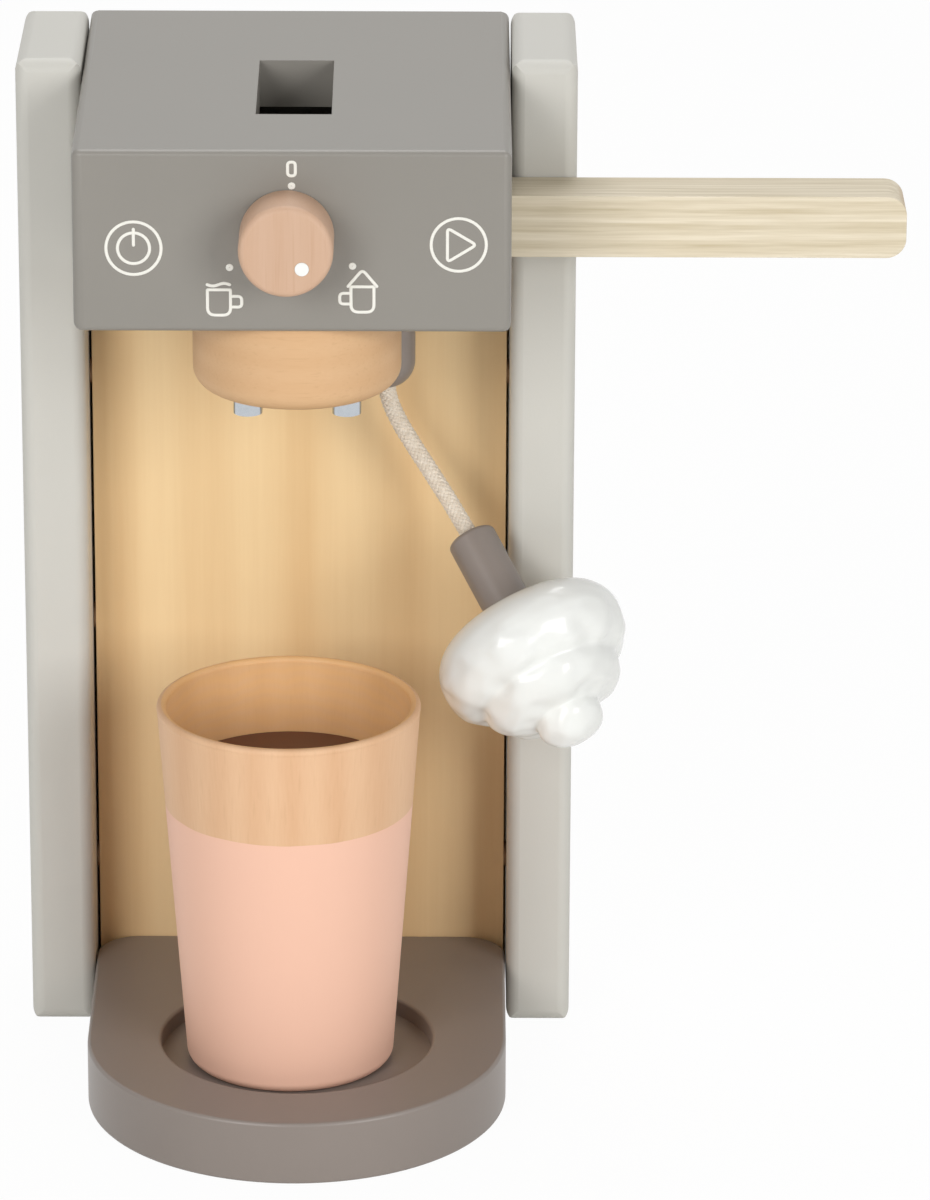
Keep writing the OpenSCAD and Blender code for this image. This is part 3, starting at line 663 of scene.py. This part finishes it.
# %% Cup
def dipped_beech():
    """Beech with pink paint on the outside below the line."""
    material = oiled_wood("dipped_beech", "e6be98", "d5a47a", "Z", "X", ring_mm=9, contrast=0.6, fleck=0.07)
    tree = material.node_tree
    shader = tree.nodes["Principled BSDF"]
    wood_colour = shader.inputs["Base Color"].links[0].from_socket
    low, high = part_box("cup")
    axis = (low + high) / 2
    place = add(tree, "ShaderNodeTexCoord")
    parts = add(tree, "ShaderNodeSeparateXYZ", {0: place.outputs["Object"]})
    from_axis = add(tree, "ShaderNodeVectorMath", {0: place.outputs["Object"], 1: (-axis.x, -axis.y, 0)},
                    operation="ADD")
    flat = add(tree, "ShaderNodeVectorMath", {0: from_axis, 1: (1, 1, 0)}, operation="MULTIPLY")
    radius = add(tree, "ShaderNodeVectorMath", {0: flat}, operation="LENGTH")
    foot_r, mouth_r = 23.8 * MM, 30.2 * MM  # the outside, at the foot and at the mouth
    skin = 1.1 * MM  # wood less than this below the outer taper counts as the outside
    painted_foot = 3 * MM  # the foot is painted underneath too, up to this height
    paint_line, paint_edge, wobble_height, wobble_mm = 74.7 * MM, 0.15 * MM, 0.4 * MM, 6.25
    taper = (mouth_r - foot_r) / (high.z - low.z)
    wall = add(tree, "ShaderNodeMath", {0: parts.outputs["Z"], 1: -taper, 2: radius.outputs["Value"]},
               operation="MULTIPLY_ADD")
    outer = add(tree, "ShaderNodeMath", {0: wall, 1: foot_r - taper * low.z - skin},
                operation="GREATER_THAN")
    tool_mark_mm = 2.855  # several times coarser than real tool marks, so that they show
    tool_marks = add(tree, "ShaderNodeTexWave",
                     {"Vector": place.outputs["Object"], "Scale": WAVE_MM / tool_mark_mm, "Distortion": 7.0,
                      "Detail": 3.0, "Detail Scale": 0.8}, bands_direction="Z")
    oil = add(tree, "ShaderNodeMapRange",
              {"Value": tool_marks.outputs["Fac"], "To Min": 0.44, "To Max": 0.58})
    hollow = add(tree, "ShaderNodeMath", {0: 1.0, 1: outer}, operation="SUBTRACT")
    soaking = add(tree, "ShaderNodeMath", {0: oil, 1: hollow}, operation="MULTIPLY")
    soaked = add(tree, "ShaderNodeMix", {"Factor": soaking, 6: wood_colour, 7: linear("eebb76")},
                 data_type="RGBA")
    foot = add(tree, "ShaderNodeMath", {0: parts.outputs["Z"], 1: low.z + painted_foot},
               operation="LESS_THAN")
    outside = add(tree, "ShaderNodeMath", {0: outer, 1: foot}, operation="MAXIMUM")
    wobble = add(tree, "ShaderNodeTexNoise",
                 {"Vector": place.outputs["Object"], "Scale": 1 / (wobble_mm * MM)})
    height = add(tree, "ShaderNodeMath",
                 {0: wobble.outputs["Fac"], 1: wobble_height, 2: parts.outputs["Z"]},
                 operation="MULTIPLY_ADD")
    below = add(tree, "ShaderNodeMapRange",
                {"Value": height, "From Min": paint_line, "From Max": paint_line + paint_edge,
                 "To Min": 1.0, "To Max": 0.0})
    painted = add(tree, "ShaderNodeMath", {0: below, 1: outside}, operation="MULTIPLY")
    colour = add(tree, "ShaderNodeMix", {"Factor": painted, 6: soaked.outputs[2], 7: linear("efc0a8")},
                 data_type="RGBA")
    tree.links.new(colour.outputs[2], shader.inputs["Base Color"])
    return material


dress(dipped_beech(), "cup")
print("cup dipped")

# %% [markdown]
# ## Lacquer
# The coffee disc, the pointer dot and the foam are brushed or dipped in thick lacquer, which levels
# itself. What is left is a faint mottle in the colour and a skin that is not quite even. One noise
# drives both: where the coat lies thicker, it is also a little paler.

# %% Lacquer
def plain_lacquer(name, colour, roughness, mottle, peel_mm):
    """Lacquer or thick paint with a faint mottle."""
    material, tree, shader = new_material(name, roughness)
    place = add(tree, "ShaderNodeTexCoord")
    cloud = add(tree, "ShaderNodeTexNoise",
                {"Vector": place.outputs["Object"], "Scale": 1 / (peel_mm * MM), "Detail": 3})
    tint = add(tree, "ShaderNodeMix",
               {"Factor": cloud.outputs["Fac"], 6: linear(colour), 7: linear(mottle)}, data_type="RGBA")
    coat(tree, shader, tint.outputs[2], cloud.outputs["Fac"], strength=0.2, depth=0.05 * MM)
    return material


coffee_paint = plain_lacquer("coffee_brown_paint", "5d3524", 0.4, "653a29", 3)
white_gloss = plain_lacquer("white_gloss_lacquer", "e8e9e5", 0.2, "ecedea", 6)
dress(coffee_paint, "coffee_disc")
dress(white_gloss, "pointer_dot")
print("mixed", coffee_paint.name, "and", white_gloss.name)

# %% [markdown]
# ## Zinc
# The spouts, screws and magnets are plated steel. The plating is a skin of fine crystals, so the
# grey is cool and the shine is blurred, a little more in one place than in the next. A metal shows
# its colour only in what it mirrors, so one noise drives that tint and the blur.

# %% Zinc
def zinc_plate():
    """Zinc-plated steel: bluish grey metal with a blurred, slightly uneven shine."""
    smoothest, roughest = 0.17, 0.25
    material, tree, shader = new_material("zinc_plate", roughest, Metallic=1.0)
    place = add(tree, "ShaderNodeTexCoord")
    grain_mm = 1.5
    grain = add(tree, "ShaderNodeTexNoise",
                {"Vector": place.outputs["Object"], "Scale": 1 / (grain_mm * MM), "Detail": 2})
    tint = add(tree, "ShaderNodeMix",
               {"Factor": grain.outputs["Fac"], 6: linear("bcc2c9"), 7: linear("c8cdd2")}, data_type="RGBA")
    blur = add(tree, "ShaderNodeMapRange",
               {"Value": grain.outputs["Fac"], "To Min": smoothest, "To Max": roughest})
    tree.links.new(tint.outputs[2], shader.inputs["Base Color"])
    tree.links.new(blur.outputs[0], shader.inputs["Roughness"])
    return material


zinc = zinc_plate()
dress(zinc, "disc_screws", "left_spout", "right_spout", "nozzle_magnet", "foam_magnet",
      "knob_screw", "knob_washer", "lever_pin")
print("metal pieces dressed")

# %% [markdown]
# ## Screws in the back
# Three countersunk screws hold the panel to the base. A cross-shaped recess tells them from a plain
# disc of metal. Geometry Nodes cuts one screw and sets it on three points.

# %% Screws
def screw_tree():
    """Stands a countersunk screw with a cross recess on every point, its flat head towards +Y."""
    bar_reach, bar_width = 1.1, 0.24  # the recess's bars as shares of the head's radius
    bar_turn = 0.4  # the screws stop at this angle, in radians
    corners = 40  # around the head and the shank
    tree, given, result = new_tree("cross_screws", ["Shank Radius", "Head Radius", "Head Height", "Length"])
    head = add(tree, "GeometryNodeMeshCone",
               {"Vertices": corners, "Radius Top": given.outputs["Head Radius"],
                "Radius Bottom": given.outputs["Shank Radius"], "Depth": given.outputs["Head Height"]})
    shank = add(tree, "GeometryNodeMeshCylinder",
                {"Vertices": corners, "Radius": given.outputs["Shank Radius"],
                 "Depth": given.outputs["Length"]})
    half = add(tree, "ShaderNodeMath", {0: given.outputs["Length"], 1: -0.5}, operation="MULTIPLY")
    down = add(tree, "ShaderNodeCombineXYZ", {2: half})
    below = add(tree, "GeometryNodeTransform", {"Geometry": shank, "Translation": down})
    solid = add(tree, "GeometryNodeMeshBoolean", {"Mesh 2": head}, operation="UNION")
    tree.links.new(below.outputs[0], solid.inputs["Mesh 2"])
    bars = add(tree, "GeometryNodeJoinGeometry")
    for shares in ((bar_reach, bar_width), (bar_width, bar_reach)):
        sides = [add(tree, "ShaderNodeMath", {0: given.outputs["Head Radius"], 1: share},
                     operation="MULTIPLY") for share in shares]
        size = add(tree, "ShaderNodeCombineXYZ", {0: sides[0], 1: sides[1], 2: given.outputs["Head Height"]})
        bar = add(tree, "GeometryNodeMeshCube", {"Size": size})
        tree.links.new(bar.outputs[0], bars.inputs[0])
    raised = add(tree, "ShaderNodeCombineXYZ", {2: given.outputs["Head Height"]})
    recess = add(tree, "GeometryNodeTransform",
                 {"Geometry": bars, "Translation": raised, "Rotation": (0, 0, bar_turn)})
    screw = add(tree, "GeometryNodeMeshBoolean", {"Mesh 1": solid, "Mesh 2": recess},
                operation="DIFFERENCE")
    lying = add(tree, "GeometryNodeTransform", {"Geometry": screw, "Rotation": (-pi / 2, 0, 0)})
    set_in = add(tree, "GeometryNodeInstanceOnPoints",
                 {"Points": given.outputs["Geometry"], "Instance": lying})
    finish(tree, set_in, given, result)
    return tree


SCREW_D, SCREW_L = 3.5 * MM, 30 * MM
head_height = 0.6 * SCREW_D
screw_low, screw_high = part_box("base_screws")
screw_z = (screw_low.z + screw_high.z) / 2
screws = new_piece("panel_screws", [(x, screw_high.y - head_height, screw_z) for x in
                                    (screw_low.x + SCREW_D, 0, screw_high.x - SCREW_D)])
grow(screws, screw_tree(), Shank_Radius=SCREW_D / 2, Head_Radius=SCREW_D, Head_Height=head_height,
     Length=SCREW_L - head_height, Material=zinc)
screws.data.set_sharp_from_angle(angle=radians(30))
own(screws, "frame", "zinc_steel", zinc, "base_screws")
print("screws:", len(screws.data.polygons), "faces")

# %% [markdown]
# ## The foam
# The foam is turned in one piece and dipped in thick white gloss, which softens the creases. Its
# shape follows a rule: three round puffs, each smaller than the one below and pressed into it. The
# outline is half the cut through them. Geometry Nodes bends a grid around the axis, one side of the
# grid around and the other along the outline, and then lets the skin wander in and out a little, as
# hand sanding does.

# %% Outline of the foam
# All in millimetres. Puffs: height above the flat base, radius and half thickness
PUFFS = [(9, 22.8, 9), (18.5, 17, 7.5), (27.5, 7.75, 6.5)]
FOAM_H, STEP = 34, 0.25  # the foam's height, and the distance from point to point
NOZZLE_L, FOAM_SOCKET, SOCKET_R = 25.5, 3, 6.05  # the nozzle, and the hole for its tip
MAGNET_R, MAGNET_END = 4.05, 6.15  # the pocket for the magnet, behind that hole
DIPS = 6  # each dip in lacquer rounds the creases a little more
CREASE = 6  # a higher number leaves the creases between the puffs sharper


def half_width(z):
    """Radius of the stack of puffs at the height z, with lacquer in the creases."""
    widths = [wide - half + sqrt(half ** 2 - (z - middle) ** 2) for middle, wide, half in PUFFS
              if abs(z - middle) <= half]
    return sum(width ** CREASE for width in widths) ** (1 / CREASE)


skin = [half_width(k * STEP) for k in range(int(FOAM_H / STEP) + 1)]
for dip in range(DIPS):
    skin[1:-1] = [(a + 2 * b + c) / 4 for a, b, c in zip(skin, skin[1:], skin[2:])]
outline = [(0, MAGNET_END), (MAGNET_R, MAGNET_END), (MAGNET_R, FOAM_SOCKET), (SOCKET_R, FOAM_SOCKET)]
outline += [(SOCKET_R, 0)] + [(r, k * STEP) for k, r in enumerate(skin)] + [(0, FOAM_H)]
print("outline of", len(outline), "points, widest", round(max(skin), 1), "mm from the axis")

# %% Foam
def puff_tree():
    """Turns an outline in X and Z around +Z and lets the skin wander above the socket."""
    sizes = ["Around", "Along", "Wander", "Patch", "Still Below", "Free Above"]
    tree, given, result = new_tree("stacked_puffs", sizes, ["Around", "Along"])
    outline = add(tree, "GeometryNodeMeshToCurve", {"Mesh": given.outputs["Geometry"]})
    grid = add(tree, "GeometryNodeMeshGrid",
               {"Size X": 2 * pi, "Size Y": 1.0, "Vertices X": given.outputs["Around"],
                "Vertices Y": given.outputs["Along"]})
    place = add(tree, "GeometryNodeInputPosition")
    flat = add(tree, "ShaderNodeSeparateXYZ", {0: place})
    along = add(tree, "ShaderNodeMath", {0: flat.outputs["Y"], 1: 0.5}, operation="ADD")
    at = add(tree, "GeometryNodeSampleCurve", {"Curves": outline, "Factor": along}, mode="FACTOR",
             use_all_curves=True)
    swung = add(tree, "ShaderNodeVectorRotate",
                {"Vector": at.outputs["Position"], "Angle": flat.outputs["X"]}, rotation_type="Z_AXIS")
    turned = add(tree, "GeometryNodeSetPosition", {"Geometry": grid, "Position": swung})
    closed = add(tree, "GeometryNodeMergeByDistance", {"Geometry": turned, "Distance": TOUCH})
    finer = add(tree, "ShaderNodeMath", {0: 1.0, 1: given.outputs["Patch"]}, operation="DIVIDE")
    cloud = add(tree, "ShaderNodeTexNoise",
                {"Vector": place, "Scale": finer, "Detail": 1.0, "Roughness": 0.5})
    sway = add(tree, "ShaderNodeMath", {0: cloud.outputs["Fac"], 1: 0.5}, operation="SUBTRACT")
    swell = add(tree, "ShaderNodeMath", {0: sway, 1: given.outputs["Wander"]}, operation="MULTIPLY")
    height = add(tree, "ShaderNodeSeparateXYZ", {0: place})
    free = add(tree, "ShaderNodeMapRange",
               {"Value": height.outputs["Z"], "From Min": given.outputs["Still Below"],
                "From Max": given.outputs["Free Above"], "To Max": swell}, interpolation_type="SMOOTHSTEP")
    facing = add(tree, "GeometryNodeInputNormal")
    push = add(tree, "ShaderNodeVectorMath", {0: facing, "Scale": free}, operation="SCALE")
    worn = add(tree, "GeometryNodeSetPosition", {"Geometry": closed, "Offset": push})
    finish(tree, worn, given, result)
    return tree


foam = new_piece("foam_puffs", [Vector((r, 0, z)) * MM for r, z in outline],
                 [(i, i + 1) for i in range(len(outline) - 1)])
grow(foam, puff_tree(), Around=97, Along=241, Wander=2.8 * MM, Patch=9 * MM,
     Still_Below=(MAGNET_END + 0.2) * MM, Free_Above=10 * MM, Material=white_gloss)
turned = Matrix.Rotation(WAND_HEADING, 4, "Z") @ Matrix.Rotation(pi - WAND_TILT, 4, "Y")
seat = NOZZLE_TOP + (NOZZLE_L - FOAM_SOCKET) * MM * WAND_AXIS
foam.data.transform(Matrix.Translation(seat) @ turned)
own(foam, "foam", "foam_gloss", white_gloss, "foam_topping")
print("foam:", len(foam.data.polygons), "faces")

# %% [markdown]
# ## Printed signs
# The signs are pad-printed: a film of cream ink a few hundredths of a millimetre thick. Each sign is
# drawn as centre lines. Geometry Nodes sweeps a round brush along every line, presses it flat, and
# lays it on the front board. A picture on the board would do too, but lines stay sharp from close by.

# %% Ink tree
def ink_tree():
    """Sweeps a brush along all lines and presses the result flat onto the plane Y = Plane."""
    tree, given, result = new_tree("ink_lines", ["Width", "Film", "Plane"])
    lines = add(tree, "GeometryNodeMeshToCurve", {"Mesh": given.outputs["Geometry"]})
    half = add(tree, "ShaderNodeMath", {0: given.outputs["Width"], 1: 0.5}, operation="MULTIPLY")
    brush = add(tree, "GeometryNodeCurvePrimitiveCircle", {"Resolution": 8, "Radius": half})
    swept = add(tree, "GeometryNodeCurveToMesh",
                {"Curve": lines, "Profile Curve": brush, "Fill Caps": True})
    ends = add(tree, "GeometryNodeCurveEndpointSelection")
    dot = add(tree, "GeometryNodeMeshUVSphere", {"Segments": 8, "Rings": 4, "Radius": half})
    dots = add(tree, "GeometryNodeInstanceOnPoints", {"Points": lines, "Selection": ends, "Instance": dot})
    both = add(tree, "GeometryNodeJoinGeometry", {"Geometry": swept})
    tree.links.new(dots.outputs[0], both.inputs[0])
    squeeze = add(tree, "ShaderNodeMath", {0: given.outputs["Film"], 1: half}, operation="DIVIDE")
    scale = add(tree, "ShaderNodeCombineXYZ", {0: 1.0, 1: squeeze, 2: 1.0})
    shift = add(tree, "ShaderNodeCombineXYZ", {1: given.outputs["Plane"]})
    pressed = add(tree, "GeometryNodeTransform", {"Geometry": both, "Scale": scale, "Translation": shift})
    finish(tree, pressed, given, result)
    return tree


ink_lines = ink_tree()
print("the ink tree has", len(ink_lines.nodes), "nodes")

# %% Lines of the signs
def ring(r, count=48):
    """A circle around the middle."""
    return [(r * cos(2 * pi * k / count), r * sin(2 * pi * k / count)) for k in range(count)]


def rounded(corners, r, closed=True, steps=5):
    """A line through the corners with each inner corner cut by a curve that starts r before it."""
    points = []
    count = len(corners)
    for i, corner in enumerate(corners):
        c = Vector(corner)
        if not closed and i in (0, count - 1):
            points.append(tuple(c))
            continue
        before, after = Vector(corners[i - 1]), Vector(corners[(i + 1) % count])
        a = c + (before - c).normalized() * r
        b = c + (after - c).normalized() * r
        points += [tuple(a.lerp(c, t).lerp(c.lerp(b, t), t)) for t in (k / steps for k in range(steps + 1))]
    return points


def placed(place, *lines, closed=False):
    """The lines moved to a place in the layout, each with a note that says whether it is closed."""
    return [([(place[0] + x, place[1] + z) for x, z in line], closed) for line in lines]


def mug(place, way):
    """A mug's body, handle and rim. way is 1 for a handle on the right, -1 on the left."""
    half, tall, out, handle_high, handle_low = 2.55, 5.9, 2.5, 4.4, 1.9
    near, far = way * half, way * (half + out)
    body = rounded([(-half, tall), (-half, 0), (half, 0), (half, tall)], r=1.7, closed=False)
    handle = rounded([(near, handle_high), (far, handle_high), (far, handle_low), (near, handle_low)], r=0.9,
                     closed=False)
    return placed(place, body, handle, [(-half, tall), (half, tall)])


print("a mug is", sum(len(line) for line, closed in mug((0, 0), 1)), "points")

# %% Signs
# Places in millimetres from the middle of the layout, to the right and up
ZERO, POWER, PLAY = (0, 16.5), (-35, -1.9), (36.9, -0.9)
LEFT_MUG, RIGHT_MUG = (-16.2, -17.4), (15.6, -16.6)
DOTS = [(0, 12.6), (-13.8, -6.3), (13.4, -5.9)]
# Lines in millimetres from their own place
ZERO_CORNERS = [(-0.85, -1.6), (0.85, -1.6), (0.85, 1.6), (-0.85, 1.6)]
BUTTON_R, POWER_R, POWER_BAR = 6.1, 3.55, [(0, 0.7), (0, 4.4)]
PLAY_CORNERS = [(-2.5, 3.9), (3.9, 0), (-2.5, -4)]
CAP_CORNERS = [(-3.2, 6), (0, 9.9), (3.2, 6)]
DOT_RINGS = (0.2, 0.5)
STEAM_LEFT, STEAM_UP, STEAM_L, STEAM_WAVE, STEAM_POINTS = -2.6, 7.1, 5, 0.3, 12

signs = placed(ZERO, rounded(ZERO_CORNERS, r=0.8), closed=True)
for dot in DOTS:
    signs += placed(dot, *[ring(r, count=12) for r in DOT_RINGS], closed=True)
signs += placed(POWER, ring(BUTTON_R), ring(POWER_R), closed=True) + placed(POWER, POWER_BAR)
signs += placed(PLAY, ring(BUTTON_R), rounded(PLAY_CORNERS, r=1), closed=True)
signs += mug(LEFT_MUG, 1) + mug(RIGHT_MUG, -1)
signs += placed(LEFT_MUG, [(STEAM_LEFT + STEAM_L * t, STEAM_UP - STEAM_WAVE * sin(2 * pi * t))
                           for t in (k / STEAM_POINTS for k in range(STEAM_POINTS + 1))])
signs += placed(RIGHT_MUG, rounded(CAP_CORNERS, r=1.1, closed=False))

SIGNS_RISE = 21.5 * MM  # the middle of the layout, above the head's underside
ink_points, ink_edges = [], []
for line, closed in signs:
    first, count = len(ink_points), len(line)
    ink_points += [(x * MM, 0, head_low.z + SIGNS_RISE + z * MM) for x, z in line]
    ink_edges += [(first + i, first + (i + 1) % count) for i in range(count if closed else count - 1)]
ink = plain_lacquer("cream_printing_ink", "e6e4dc", 0.5, "eae8e0", 1.5)
prints = new_piece("printed_signs", ink_points, ink_edges)
grow(prints, ink_lines, Width=0.72 * MM, Film=0.06 * MM, Plane=head_low.y, Material=ink)
own(prints, "frame", "foam_gloss", ink)
print(len(signs), "ink lines,", len(prints.data.polygons), "faces")
